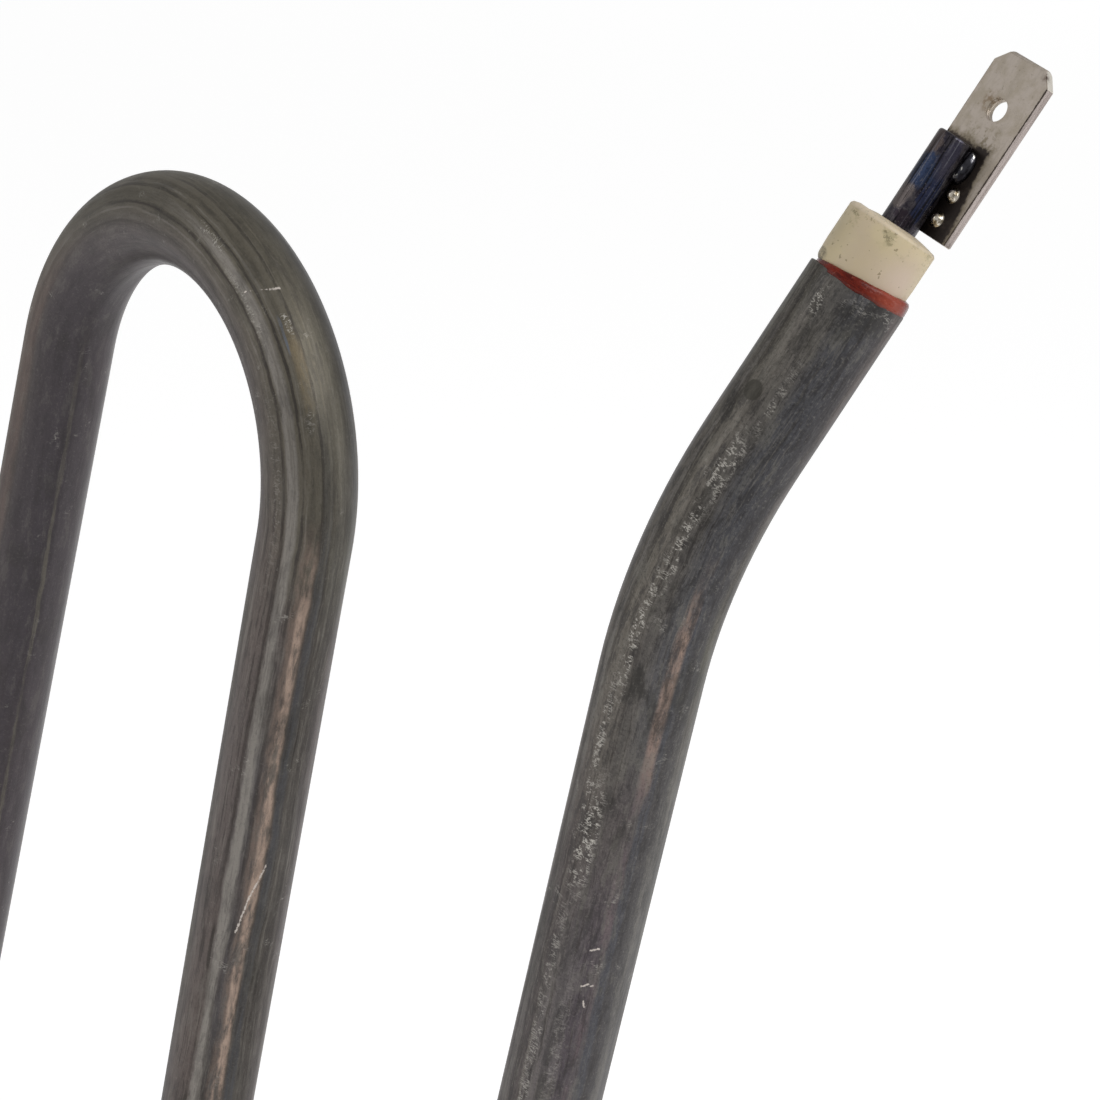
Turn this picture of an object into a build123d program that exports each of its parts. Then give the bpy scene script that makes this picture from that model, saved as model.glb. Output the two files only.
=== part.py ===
"""Tubular heating element: one flat W-shaped run of sheathed tube with two finished terminal ends.

Frame: X across the run, Y out of its plane (towards the side that the ends lean to), Z up the legs.
The origin is on the symmetry axis, in the plane of the run, level with the foot of the return bends.
The right-hand terminal is modelled in place and mirrored to the left. All sizes are in millimetres.
"""

import os
from math import asin, atan2, degrees, hypot

from build123d import *

# ---- Sheath: one steel tube, bent on formers
sheath_diameter = 8.0
sheath_wall = 0.7
crown_radius = 19.2  # centre line of the bend that closes the middle hairpin
return_radius = 19.2  # centre line of the two bends at the foot
terminal_span = 126.2  # between the centre lines of the two outer legs
crown_to_return = 190.4  # height from the return bends' centres to the crown's
crown_to_end_bend = 12.7  # how far above the crown's centre the outer legs stay straight
end_bend_radius = 39.4
end_bend_angle = 28.1  # how far each end leans out of the plane of the run
end_straight = 13.8  # straight tube above the end bend, up to the mouth
mouth_rounding = 0.12

# ---- Filling, coil and cold pins inside the sheath
nesting_clearance = 0.02  # between pieces that nest in the tube or sit on its mouth
pin_diameter = 2.7
pin_reach = 13.1  # from the mouth to the outer end of the pin
pin_end_rounding = 0.25
cold_leg = 17.0  # how far each pin runs down the straight leg, below the end bend
coil_diameter = 3.2
coil_wire = 0.45
coil_grip = 8.0  # stretch of the coil that is wound over the pin's neck

# ---- Terminal: seal, bush and tab, measured from the sheath's mouth
seal_depth = 5.5
seal_low_height = 0.4
seal_high_height = 1.05
seal_diameter = 7.96
seal_taper = 4.0  # degrees; the squeezed lip draws in towards the bush
seal_rounding = 0.25
bush_diameter = 7.36
bush_seat = 0.25  # layer of seal between the mouth and the bush's shoulder
bush_height = 4.65  # straight side, from the shoulder to the rim of the domed face
bush_dome = 0.5
bush_spigot_diameter = 5.4
bush_spigot_length = 4.0
bush_shoulder_rounding = 0.6
bush_rim_chamfer = 0.15
bush_bore_clearance = 0.24  # radial, round the pin
bush_offset = 0.2  # the bush sits off the tube's axis, pushed away from the thick side of the seal
bush_offset_direction = 220.0  # degrees from +X, seen looking into the mouth

tab_width = 6.3
tab_thickness = 0.8
tab_length = 14.5
tab_gap = 0.6  # between the bush's dome and the foot of the tab
tab_corner = 1.05
tab_tip_bevel = 0.2
tab_hole_diameter = 1.7
tab_hole_from_tip = 4.3
tab_turn = -8.5  # degrees about the terminal's axis
tab_offset = 0.45  # the blade's middle stands this far to the side of the pin
weld_sink = 0.1  # how far the pin is pressed into the blade's face by the weld
dimple_diameter = 0.95
dimple_offset = 1.3  # to the side of the blade's middle
dimple_first = 1.3  # height of the first dimple above the foot of the blade
dimple_pitch = 2.04
dimple_count = 2
lobe_length = 2.7  # melted metal where the last dimple ran into the pin
lobe_height = 0.6
lobe_offset = 1.05

# ---- Derived sizes
sheath_radius = sheath_diameter / 2
bore_radius = sheath_radius - sheath_wall
pin_radius = pin_diameter / 2
coil_radius = coil_diameter / 2
coil_inner_radius = coil_radius - coil_wire
neck_radius = coil_inner_radius - nesting_clearance
seal_radius = seal_diameter / 2
bush_radius = bush_diameter / 2

leg_x = terminal_span / 2
return_x = leg_x - return_radius
return_z = return_radius + sheath_radius
crown_z = return_z + crown_to_return
end_bend_z = crown_z + crown_to_end_bend
pin_foot_z = end_bend_z - cold_leg
neck_top_z = pin_foot_z + coil_grip

# The hairpin legs are the straight lines that touch the crown on one side and a return bend on the other
leg_splay = degrees(
    atan2(return_x, crown_to_return)
    - asin((crown_radius + return_radius) / hypot(return_x, crown_to_return))
)

# ---- Centre lines, from the right-hand end to the left-hand one
with BuildLine(Plane.XZ) as flat_run:
    crown = CenterArc((0, crown_z), crown_radius, leg_splay, 180 - 2 * leg_splay)
    foot = CenterArc((return_x, return_z), return_radius, 180 + leg_splay, 180 - leg_splay)
    inner_leg = Line(crown @ 0, foot @ 0)
    outer_leg = Line(foot @ 1, (leg_x, end_bend_z))
    mirror([foot, inner_leg, outer_leg], about=Plane.YZ)

with BuildLine(Plane.YZ.offset(leg_x)) as end_run:
    end_bend = JernArc((0, end_bend_z), (0, 1), end_bend_radius, -end_bend_angle)
    PolarLine(end_bend @ 1, end_straight, direction=end_bend % 1)

# Each terminal stands in the sheath's mouth: local X along the blade's width, local Z out of the tube
mouth = Plane(origin=end_run.wire() @ 1, x_dir=(1, 0, 0), z_dir=end_run.wire() % 1)
mouth_axis = Axis(mouth.origin, mouth.z_dir)
seal_floor = mouth.offset(-seal_depth)

with BuildLine() as full_run:
    add(flat_run.line)
    add(end_run.line)
    mirror(end_run.line, about=Plane.YZ)

with BuildLine() as filled_end:
    add(end_bend)
    Line(end_bend @ 1, seal_floor.origin)

with BuildLine() as filled_run:
    add(flat_run.line)
    add(filled_end.line)
    mirror(filled_end.line, about=Plane.YZ)

with BuildLine(Plane.XZ) as coil_run:
    add([crown, foot, inner_leg])
    coil_end = Line(foot @ 1, (leg_x, neck_top_z))
    mirror([foot, inner_leg, coil_end], about=Plane.YZ)

with BuildLine(Plane.XZ) as core_run:
    add([crown, foot, inner_leg])
    core_end = Line(foot @ 1, (leg_x, pin_foot_z))
    mirror([foot, inner_leg, core_end], about=Plane.YZ)

with BuildLine() as pin_run:
    Line((leg_x, 0, neck_top_z), (leg_x, 0, end_bend_z))
    add(end_run.line)
    Line(mouth.origin, mouth.offset(pin_reach).origin)

# ---- Sheath
with BuildPart() as sheath:
    with BuildSketch(mouth):
        Circle(sheath_radius)
        Circle(bore_radius, mode=Mode.SUBTRACT)
    sweep(path=full_run.wire())
    fillet(sheath.faces().filter_by(GeomType.PLANE).edges(), mouth_rounding)
sheath.part.label = "sheath"

# ---- Terminal tab: push-on blade with its corners cut, a latch hole and welding dimples
# The blade's plane is its near face: X across the blade, Y up it, Z towards the pin in front of it
tab_foot = bush_seat + bush_height + bush_dome + tab_gap
blade_across = mouth.x_dir.rotate(mouth_axis, tab_turn)
blade_front = mouth.y_dir.rotate(mouth_axis, tab_turn) * -1
blade = Plane(
    origin=mouth.offset(tab_foot).origin
    + blade_across * tab_offset
    - blade_front * (pin_radius - weld_sink),
    x_dir=blade_across,
    z_dir=blade_front,
)
dimple_heights = [dimple_first + i * dimple_pitch for i in range(dimple_count)]
lobe_height_up = dimple_first + dimple_count * dimple_pitch

with BuildPart(blade) as terminal_tab_right:
    with BuildSketch(blade):
        with Locations((0, tab_length / 2)):
            outline = Rectangle(tab_width, tab_length)
        chamfer(outline.vertices().group_by(Axis.Y)[-1], tab_corner)
        with Locations((0, tab_length - tab_hole_from_tip)):
            Circle(tab_hole_diameter / 2, mode=Mode.SUBTRACT)
    extrude(amount=-tab_thickness)
    tip = terminal_tab_right.faces().sort_by(Axis(blade.origin, blade.y_dir))[-1]
    chamfer(tip.edges().filter_by(Axis(blade.origin, blade.x_dir)), tab_tip_bevel)
    with Locations([(dimple_offset, height, 0) for height in dimple_heights]):
        Sphere(dimple_diameter / 2)
    with BuildSketch(blade):
        with BuildLine():
            start = (lobe_offset, lobe_height_up - lobe_length / 2)
            end = (lobe_offset, lobe_height_up + lobe_length / 2)
            SagittaArc(start, end, lobe_height)
            Line(end, start)
        make_face()
    revolve(axis=Axis(blade.from_local_coords((lobe_offset, 0, 0)), blade.y_dir))
terminal_tab_right.part.label = "terminal_tab_right"

# ---- Terminal pin: the cold end of the circuit, bent with the tube and welded to the tab
with BuildPart() as terminal_pin_right:
    with BuildSketch(Plane.XY.offset(neck_top_z)):
        with Locations((leg_x, 0)):
            Circle(pin_radius)
    sweep(path=pin_run.wire())
    fillet(
        terminal_pin_right.faces().sort_by(Axis.Z)[-1].edges(),
        pin_end_rounding,
    )
    with BuildSketch(Plane.XY.offset(pin_foot_z)):
        with Locations((leg_x, 0)):
            Circle(neck_radius)
    extrude(amount=coil_grip)
    add(terminal_tab_right.part, mode=Mode.SUBTRACT)
terminal_pin_right.part.label = "terminal_pin_right"

# ---- Ceramic bush: a domed head on a spigot, turned about its own axis
bush_push = mouth.x_dir.rotate(mouth_axis, bush_offset_direction)
bush_axis = Axis(mouth.origin + bush_push * bush_offset, mouth.z_dir)
bush_section = Plane(origin=bush_axis.position, x_dir=mouth.x_dir, z_dir=-mouth.y_dir)
bush_rim_z = bush_seat + bush_height
dome_radius = (bush_radius**2 + bush_dome**2) / (2 * bush_dome)

with BuildPart() as ceramic_bush_right:
    with BuildSketch(bush_section) as profile:
        with BuildLine():
            Polyline(
                (0, bush_rim_z + bush_dome),
                (0, -bush_spigot_length),
                (bush_spigot_diameter / 2, -bush_spigot_length),
                (bush_spigot_diameter / 2, bush_seat),
                (bush_radius, bush_seat),
                (bush_radius, bush_rim_z),
            )
            RadiusArc((bush_radius, bush_rim_z), (0, bush_rim_z + bush_dome), -dome_radius)
        make_face()
        corners = profile.vertices().group_by(Axis.X)[-1].sort_by(Axis.Y)
        fillet(corners[0], bush_shoulder_rounding)
        chamfer(corners[-1], bush_rim_chamfer)
    revolve(axis=bush_axis)
    with BuildSketch(mouth.offset(-bush_spigot_length)):
        Circle(pin_radius + bush_bore_clearance)
    extrude(amount=bush_spigot_length + bush_rim_z + bush_dome, mode=Mode.SUBTRACT)
ceramic_bush_right.part.label = "ceramic_bush_right"

# ---- Silicone seal: poured into the mouth, and squeezed up on one side by the bush
seal_face = Plane(
    origin=mouth.offset((seal_high_height + seal_low_height) / 2).origin,
    z_dir=mouth.z_dir * seal_diameter + bush_push * (seal_high_height - seal_low_height),
)

with BuildPart() as silicone_seal_right:
    with BuildSketch(mouth.offset(nesting_clearance)):
        Circle(seal_radius)
    extrude(amount=2 * seal_high_height, taper=seal_taper)
    split(bisect_by=seal_face, keep=Keep.BOTTOM)
    lip = silicone_seal_right.faces().sort_by(mouth_axis)[-1]
    fillet(lip.edges(), seal_rounding)
    with BuildSketch(seal_floor):
        Circle(bore_radius - nesting_clearance)
    extrude(amount=seal_depth + nesting_clearance)
    add([ceramic_bush_right.part, terminal_pin_right.part], mode=Mode.SUBTRACT)
silicone_seal_right.part.label = "silicone_seal_right"

# ---- Left-hand terminal: the mirror image of the right-hand one
with BuildPart() as terminal_tab_left:
    mirror(terminal_tab_right.part, about=Plane.YZ)
terminal_tab_left.part.label = "terminal_tab_left"

with BuildPart() as terminal_pin_left:
    mirror(terminal_pin_right.part, about=Plane.YZ)
terminal_pin_left.part.label = "terminal_pin_left"

with BuildPart() as ceramic_bush_left:
    mirror(ceramic_bush_right.part, about=Plane.YZ)
ceramic_bush_left.part.label = "ceramic_bush_left"

with BuildPart() as silicone_seal_left:
    mirror(silicone_seal_right.part, about=Plane.YZ)
silicone_seal_left.part.label = "silicone_seal_left"

# ---- Heating coil: the closed outer shape of the wound resistance wire, gripping a pin at each end
with BuildPart() as heating_coil:
    with BuildSketch(Plane.XY.offset(neck_top_z)):
        with Locations((leg_x, 0)):
            Circle(coil_radius)
            Circle(coil_inner_radius, mode=Mode.SUBTRACT)
    sweep(path=coil_run.wire())
heating_coil.part.label = "heating_coil"

# ---- Magnesia filling: powder pressed round the coil and pins, and a core of it inside the coil
with BuildPart() as pin_hole_right:
    with BuildSketch(Plane.XY.offset(neck_top_z)):
        with Locations((leg_x, 0)):
            Circle(pin_radius + nesting_clearance)
    sweep(path=pin_run.wire())

with BuildPart() as magnesia_filling:
    with BuildSketch(seal_floor):
        Circle(bore_radius - nesting_clearance)
    sweep(path=filled_run.wire())
    with BuildSketch(Plane.XY.offset(neck_top_z)):
        with Locations((leg_x, 0)):
            Circle(coil_radius + nesting_clearance)
    sweep(path=coil_run.wire(), mode=Mode.SUBTRACT)
    add(pin_hole_right.part, mode=Mode.SUBTRACT)
    mirror(pin_hole_right.part, about=Plane.YZ, mode=Mode.SUBTRACT)
    with BuildSketch(Plane.XY.offset(pin_foot_z)):
        with Locations((leg_x, 0)):
            Circle(coil_inner_radius - nesting_clearance)
    sweep(path=core_run.wire())
magnesia_filling.part.label = "magnesia_filling"

# ---- One STEP file for each piece
os.makedirs("parts", exist_ok=True)
for piece in (
    sheath,
    magnesia_filling,
    heating_coil,
    terminal_pin_right,
    terminal_pin_left,
    silicone_seal_right,
    silicone_seal_left,
    ceramic_bush_right,
    ceramic_bush_left,
    terminal_tab_right,
    terminal_tab_left,
):
    export_step(piece.part, f"parts/{piece.part.label}.step")
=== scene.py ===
import math

import bmesh
import bpy
from mathutils import Matrix, Vector, noise


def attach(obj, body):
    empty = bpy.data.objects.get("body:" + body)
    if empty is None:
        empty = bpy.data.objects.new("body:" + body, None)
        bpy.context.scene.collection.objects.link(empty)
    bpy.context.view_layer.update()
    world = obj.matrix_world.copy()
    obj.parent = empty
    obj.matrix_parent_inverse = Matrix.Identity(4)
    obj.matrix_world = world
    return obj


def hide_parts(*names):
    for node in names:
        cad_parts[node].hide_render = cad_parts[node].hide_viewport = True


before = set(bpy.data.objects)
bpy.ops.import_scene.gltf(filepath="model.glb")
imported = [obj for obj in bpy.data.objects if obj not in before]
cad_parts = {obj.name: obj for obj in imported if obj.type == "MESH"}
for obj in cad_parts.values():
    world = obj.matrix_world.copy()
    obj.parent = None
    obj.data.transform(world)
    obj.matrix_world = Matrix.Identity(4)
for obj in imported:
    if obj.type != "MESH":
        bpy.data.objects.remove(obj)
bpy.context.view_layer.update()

# ---- Studio: a pale matt floor with a soft box overhead, a strip beside it and a low fill.
# The floor is white to the eye and in reflections, and keeps the heater's own shadow.
scene = bpy.context.scene
scene.view_settings.view_transform = "Standard"

eye = bpy.data.cameras.new("viewpoint")
eye.lens = 140.04
eye.sensor_width = 36.0
eye.sensor_fit = "HORIZONTAL"
eye.clip_start = 0.02
eye.clip_end = 20.0
viewpoint = bpy.data.objects.new("viewpoint", eye)
scene.collection.objects.link(viewpoint)
across = (0.57811, 0.79218, 0.19555)
above = (-0.46835, 0.12591, 0.87453)
behind = (0.66816, -0.59716, 0.4438)
turn = Matrix((across, above, behind)).transposed().to_4x4()
viewpoint.matrix_world = Matrix.Translation((0.266792, -0.194597, 0.373946)) @ turn
scene.camera = viewpoint


def add(tree, kind, _set=None, **feeds):
    """Adds a node. Feeds go to inputs by name, or by number as i0, i1: sockets are linked, values are set."""
    node = tree.nodes.new(kind)
    for name, value in (_set or {}).items():
        setattr(node, name, value)
    for name, value in feeds.items():
        numbered = name[0] == "i" and name[1:].isdigit()
        socket = node.inputs[int(name[1:])] if numbered else node.inputs[name.replace("_", " ")]
        if isinstance(value, bpy.types.NodeSocket):
            tree.links.new(value, socket)
        else:
            socket.default_value = value
    return node


def sums(tree, how, first, second=0.5):
    """One sum of one or two values."""
    return add(tree, "ShaderNodeMath", {"operation": how}, i0=first, i1=second).outputs[0]


def vector(tree, how, first, **feeds):
    """One sum of vectors; a length, a distance or a dot product comes back as a plain value."""
    node = add(tree, "ShaderNodeVectorMath", {"operation": how}, i0=first, **feeds)
    return node.outputs["Value" if how in ("LENGTH", "DISTANCE", "DOT_PRODUCT") else "Vector"]


def paint(*sRGB):
    """A colour as a maker reads it off a swatch, 0 to 255, turned into the shader's own scale."""
    return tuple((c / 255 / 12.92 if c <= 10 else ((c / 255 + 0.055) / 1.055) ** 2.4) for c in sRGB) + (1.0,)


floor_size = 3.0
floor_drop = 0.0003
shadow_ends, white_starts = 0.35, 0.85  # distances from the middle between which the paper fades to white
white_ink = (1, 1, 1, 1)

floor_paper = bpy.data.materials.new("floor_paper")
floor_paper.use_nodes = True
tree = floor_paper.node_tree
tree.nodes.clear()
seen = add(tree, "ShaderNodeLightPath")
tooth = add(tree, "ShaderNodeTexNoise", Scale=900.0, Detail=3.0)
tooth_bump = add(tree, "ShaderNodeBump", Strength=0.05, Distance=0.0002, Height=tooth.outputs[0])
paper = add(tree, "ShaderNodeBsdfDiffuse", Color=(0.8, 0.8, 0.8, 1), Normal=tooth_bump.outputs[0])
glow = add(tree, "ShaderNodeEmission", Color=white_ink, Strength=0.42)
lit = add(tree, "ShaderNodeAddShader", i0=paper.outputs[0], i1=glow.outputs[0])
direct = sums(tree, "MAXIMUM", seen.outputs["Is Camera Ray"], seen.outputs["Is Glossy Ray"])
pick = add(tree, "ShaderNodeMixShader", Fac=direct, i1=paper.outputs[0], i2=lit.outputs[0])
spread = vector(tree, "LENGTH", add(tree, "ShaderNodeTexCoord").outputs["Object"])
distant = add(tree, "ShaderNodeMapRange", Value=spread, From_Min=shadow_ends, From_Max=white_starts)
faded = sums(tree, "MULTIPLY", distant.outputs[0], seen.outputs["Is Camera Ray"])
blank = add(tree, "ShaderNodeEmission", Color=white_ink, Strength=1.0)
whole = add(tree, "ShaderNodeMixShader", Fac=faded, i1=pick.outputs[0], i2=blank.outputs[0])
add(tree, "ShaderNodeOutputMaterial", Surface=whole.outputs[0])

half = floor_size / 2
floor_mesh = bpy.data.meshes.new("floor")
corners = [(-half, -half, 0), (half, -half, 0), (half, half, 0), (-half, half, 0)]
floor_mesh.from_pydata(corners, [], [(0, 1, 2, 3)])
floor_mesh.materials.append(floor_paper)
floor = bpy.data.objects.new("floor", floor_mesh)
scene.collection.objects.link(floor)
floor_mesh.transform(Matrix.Translation((0, 0, -floor_drop)))

room = bpy.data.worlds.new("room")
scene.world = room
room.use_nodes = True
tree = room.node_tree
tree.nodes.clear()
seen = add(tree, "ShaderNodeLightPath")
dim = add(tree, "ShaderNodeBackground", Color=white_ink, Strength=0.5)
white = add(tree, "ShaderNodeBackground", Color=white_ink, Strength=1.0)
pick = add(tree, "ShaderNodeMixShader", Fac=seen.outputs["Is Camera Ray"], i1=dim.outputs[0], i2=white.outputs[0])
add(tree, "ShaderNodeOutputWorld", Surface=pick.outputs[0])


def lamp(name, place, target, width, height, watts):
    """A flat soft box that faces its target."""
    box = bpy.data.lights.new(name, "AREA")
    box.shape = "RECTANGLE"
    box.size, box.size_y = width, height
    box.energy = watts
    stand = bpy.data.objects.new(name, box)
    scene.collection.objects.link(stand)
    aim = (Vector(target) - Vector(place)).to_track_quat("-Z", "Y")
    stand.matrix_world = Matrix.Translation(place) @ aim.to_matrix().to_4x4()


middle = (0.02, 0.0, 0.2)
lamp("key_softbox", (0.62, 0.30, 1.10), middle, 0.8, 0.6, 5.5)
lamp("side_strip", (0.75, 0.85, 0.45), middle, 0.14, 1.0, 1.6)
lamp("front_fill", (-0.45, -1.0, 0.55), middle, 0.5, 0.8, 1.6)

# ---- Sheath: one length of steel tube, drawn down on its filling until it is hard packed, then
# bent cold to the flat run with two leaning ends. Left with the brown-grey skin of its annealing.
tube_radius = 0.004
tube_wall = 0.0007
tube_sides = 72
mouth_edge = 0.00012
bend_radius = 0.0192
leg_x = 0.0631
foot_bend_x = 0.0439
foot_bend_z = 0.0232
crown_z = 0.2136
lean_start_z = 0.2263
lean_radius = 0.0394
lean_angle = math.radians(28.1)
straight_end = 0.0138
splay = math.radians(1.6498)
turn_step = math.radians(2.0)
end_steps, leg_steps = 8, 12


def tube_run():
    """The tube's middle line from the right mouth round to the left one: places and directions."""

    def lean_place(a):
        return Vector((leg_x, lean_radius * (1 - math.cos(a)), lean_start_z + lean_radius * math.sin(a)))

    def bend_place(x, z, a):
        return Vector((x + bend_radius * math.cos(a), 0, z + bend_radius * math.sin(a)))

    line = []
    up = Vector((0, math.sin(lean_angle), math.cos(lean_angle)))
    for i in range(end_steps):
        line.append((lean_place(lean_angle) + up * straight_end * (1 - i / end_steps), -up))
    steps = round(lean_angle / turn_step)
    for i in range(steps):
        a = lean_angle * (1 - i / steps)
        line.append((lean_place(a), Vector((0, -math.sin(a), -math.cos(a)))))
    for i in range(leg_steps):
        z = lean_start_z + (foot_bend_z - lean_start_z) * i / leg_steps
        line.append((Vector((leg_x, 0, z)), Vector((0, 0, -1))))
    steps = round((math.pi - splay) / turn_step)
    for i in range(steps):
        a = -(math.pi - splay) * i / steps
        line.append((bend_place(foot_bend_x, foot_bend_z, a), Vector((math.sin(a), 0, -math.cos(a)))))
    low = bend_place(foot_bend_x, foot_bend_z, math.pi + splay)
    high = bend_place(0, crown_z, splay)
    for i in range(leg_steps):
        line.append((low.lerp(high, i / leg_steps), (high - low).normalized()))
    steps = round((math.pi / 2 - splay) / turn_step)
    for i in range(steps):
        a = splay + (math.pi / 2 - splay) * i / steps
        line.append((bend_place(0, crown_z, a), Vector((-math.sin(a), 0, math.cos(a)))))
    other = [(Vector((-p.x, p.y, p.z)), Vector((t.x, -t.y, -t.z))) for p, t in reversed(line)]
    return line + [(Vector((0, 0, crown_z + bend_radius)), Vector((-1, 0, 0)))] + other


def run_curve(name, line):
    """A bare chain of edges along a run, carrying each point's length and its two crosswise directions."""
    chain = bpy.data.meshes.new(name)
    chain.from_pydata([p for p, t in line], [(i, i + 1) for i in range(len(line) - 1)], [])
    travelled = chain.attributes.new("travelled", "FLOAT", "POINT")
    outward = chain.attributes.new("outward", "FLOAT_VECTOR", "POINT")
    sideways = chain.attributes.new("sideways", "FLOAT_VECTOR", "POINT")
    length = 0.0
    for i, (p, t) in enumerate(line):
        length += (p - line[i - 1][0]).length if i else 0.0
        out = Vector((0, abs(t.z), -abs(t.y))) if abs(t.y) > 1e-6 else Vector((0, 1, 0))
        travelled.data[i].value = length
        outward.data[i].vector = out
        sideways.data[i].vector = t.cross(out)
    return chain


def new_growth(name, numbers, result_name):
    """An empty geometry tree that takes a chain, some numbers and a finish: the tree and its inputs."""
    tree = bpy.data.node_groups.new(name, "GeometryNodeTree")
    face = tree.interface
    face.new_socket("Chain", in_out="INPUT", socket_type="NodeSocketGeometry")
    for label, kind, value in numbers:
        face.new_socket(label, in_out="INPUT", socket_type=kind).default_value = value
    face.new_socket("Finish", in_out="INPUT", socket_type="NodeSocketMaterial")
    face.new_socket(result_name, in_out="OUTPUT", socket_type="NodeSocketGeometry")
    return tree, tree.nodes.new("NodeGroupInput")


def end_growth(tree, geometry, finish):
    """Closes a geometry tree: smooth shading, real geometry and the finish."""
    smooth = add(tree, "GeometryNodeSetShadeSmooth", Geometry=geometry)
    real = add(tree, "GeometryNodeRealizeInstances", Geometry=smooth.outputs[0])
    coated = add(tree, "GeometryNodeSetMaterial", Geometry=real.outputs[0], Material=finish)
    result = tree.nodes.new("NodeGroupOutput")
    tree.links.new(coated.outputs[0], result.inputs[0])
    return tree


def carried(tree, kind, label):
    """A value that the chain carries on its points."""
    return add(tree, "GeometryNodeInputNamedAttribute", {"data_type": kind}, Name=label).outputs["Attribute"]


def sweep_tree(name):
    """Sweeps a ring along a chain and keeps, on every point, its place in the straightened tube."""
    numbers = (("Radius", "NodeSocketFloat", tube_radius), ("Sides", "NodeSocketInt", tube_sides))
    tree, given = new_growth(name, numbers, "Tube")
    place = add(tree, "GeometryNodeInputPosition").outputs[0]
    curve = add(tree, "GeometryNodeMeshToCurve", Mesh=given.outputs["Chain"])
    held = add(tree, "GeometryNodeCaptureAttribute", {"domain": "POINT"}, Geometry=curve.outputs[0])
    for label, kind, socket in (
        ("centre", "VECTOR", place),
        ("outward", "VECTOR", carried(tree, "FLOAT_VECTOR", "outward")),
        ("sideways", "VECTOR", carried(tree, "FLOAT_VECTOR", "sideways")),
        ("travelled", "FLOAT", carried(tree, "FLOAT", "travelled")),
    ):
        held.capture_items.new(kind, label)
        tree.links.new(socket, held.inputs[label])
    ring = add(
        tree,
        "GeometryNodeCurvePrimitiveCircle",
        {"mode": "RADIUS"},
        Resolution=given.outputs["Sides"],
        Radius=given.outputs["Radius"],
    )
    tube = add(tree, "GeometryNodeCurveToMesh", Curve=held.outputs["Geometry"], Profile_Curve=ring.outputs[0])
    off = vector(tree, "SUBTRACT", place, i1=held.outputs["centre"])
    side = vector(tree, "DOT_PRODUCT", off, i1=held.outputs["sideways"])
    out = vector(tree, "DOT_PRODUCT", off, i1=held.outputs["outward"])
    straight = add(tree, "ShaderNodeCombineXYZ", X=side, Y=out, Z=held.outputs["travelled"])
    stored = add(
        tree,
        "GeometryNodeStoreNamedAttribute",
        {"data_type": "FLOAT_VECTOR", "domain": "POINT"},
        Geometry=tube.outputs[0],
        Name="tube_place",
        Value=straight.outputs[0],
    )
    return end_growth(tree, stored.outputs[0], given.outputs["Finish"])


def grown(name, base, tree, **sizes):
    """Runs a tree on a mesh with the given sizes, and returns the result as a plain object."""
    seed = bpy.data.objects.new(name + "_base", base)
    scene.collection.objects.link(seed)
    growth = seed.modifiers.new("growth", "NODES")
    growth.node_group = tree
    for item in tree.interface.items_tree:
        if item.in_out == "INPUT" and item.name in sizes:
            growth[item.identifier] = sizes[item.name]
    bpy.context.view_layer.update()
    solid = seed.evaluated_get(bpy.context.evaluated_depsgraph_get())
    mesh = bpy.data.meshes.new_from_object(solid)
    mesh.name = name
    seed.modifiers.remove(growth)
    bpy.data.objects.remove(seed)
    piece = bpy.data.objects.new(name, mesh)
    scene.collection.objects.link(piece)
    return piece


def start_finish(name, metallic, roughness):
    """A new finish: its tree, its shader, and an end that the shader feeds."""
    finish = bpy.data.materials.new(name)
    finish.use_nodes = True
    tree = finish.node_tree
    tree.nodes.clear()
    shader = add(tree, "ShaderNodeBsdfPrincipled", Metallic=metallic, Roughness=roughness)
    add(tree, "ShaderNodeOutputMaterial", Surface=shader.outputs[0])
    return finish, tree, shader


def coat(tree, shader, colour, roughness=None, relief=None, strength=0.5, depth=0.00005):
    """Feeds a finish its colour and, where they vary, its roughness and a relief."""
    tree.links.new(colour, shader.inputs["Base Color"])
    if roughness is not None:
        tree.links.new(roughness, shader.inputs["Roughness"])
    if relief is not None:
        bump = add(tree, "ShaderNodeBump", Strength=strength, Distance=depth, Height=relief)
        tree.links.new(bump.outputs[0], shader.inputs["Normal"])


def own_place(tree, name="own_place"):
    """The coordinates that a piece carries with it from before it was bent into place."""
    named = {"attribute_type": "GEOMETRY", "attribute_name": name}
    return add(tree, "ShaderNodeAttribute", named).outputs["Vector"]


def blend(tree, factor, first, second):
    """Mixes two colours by a factor, and returns the mixed colour's socket."""
    node = tree.nodes.new("ShaderNodeMix")
    node.data_type = "RGBA"
    for slot_name, value in (("Factor_Float", factor), ("A_Color", first), ("B_Color", second)):
        socket = next(s for s in node.inputs if s.identifier == slot_name)
        if isinstance(value, bpy.types.NodeSocket):
            tree.links.new(value, socket)
        else:
            socket.default_value = value
    return next(s for s in node.outputs if s.identifier == "Result_Color")


def ramp(tree, value, low, high, to_low=0.0, to_high=1.0):
    """Spreads a value between two limits, smoothly, and holds it inside them."""
    smooth = {"interpolation_type": "SMOOTHSTEP"}
    return add(tree, "ShaderNodeMapRange", smooth, i0=value, i1=low, i2=high, i3=to_low, i4=to_high).outputs[0]


def stretched(tree, place, scale, shift=(0, 0, 0)):
    """The same coordinates stretched by a scale along each axis."""
    return add(tree, "ShaderNodeMapping", Vector=place, Location=shift, Scale=scale).outputs[0]


def cloud(tree, place, scale, detail=4.0, roughness=0.6):
    """Fractal noise over some coordinates, from 0 to 1."""
    return add(tree, "ShaderNodeTexNoise", Vector=place, Scale=scale, Detail=detail, Roughness=roughness).outputs[0]


def streaks(tree, place, scale, detail, roughness=0.6, shift=(0, 0, 0)):
    """The same noise drawn out by a scale along each axis."""
    return cloud(tree, stretched(tree, place, scale, shift), 1.0, detail, roughness)


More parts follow.
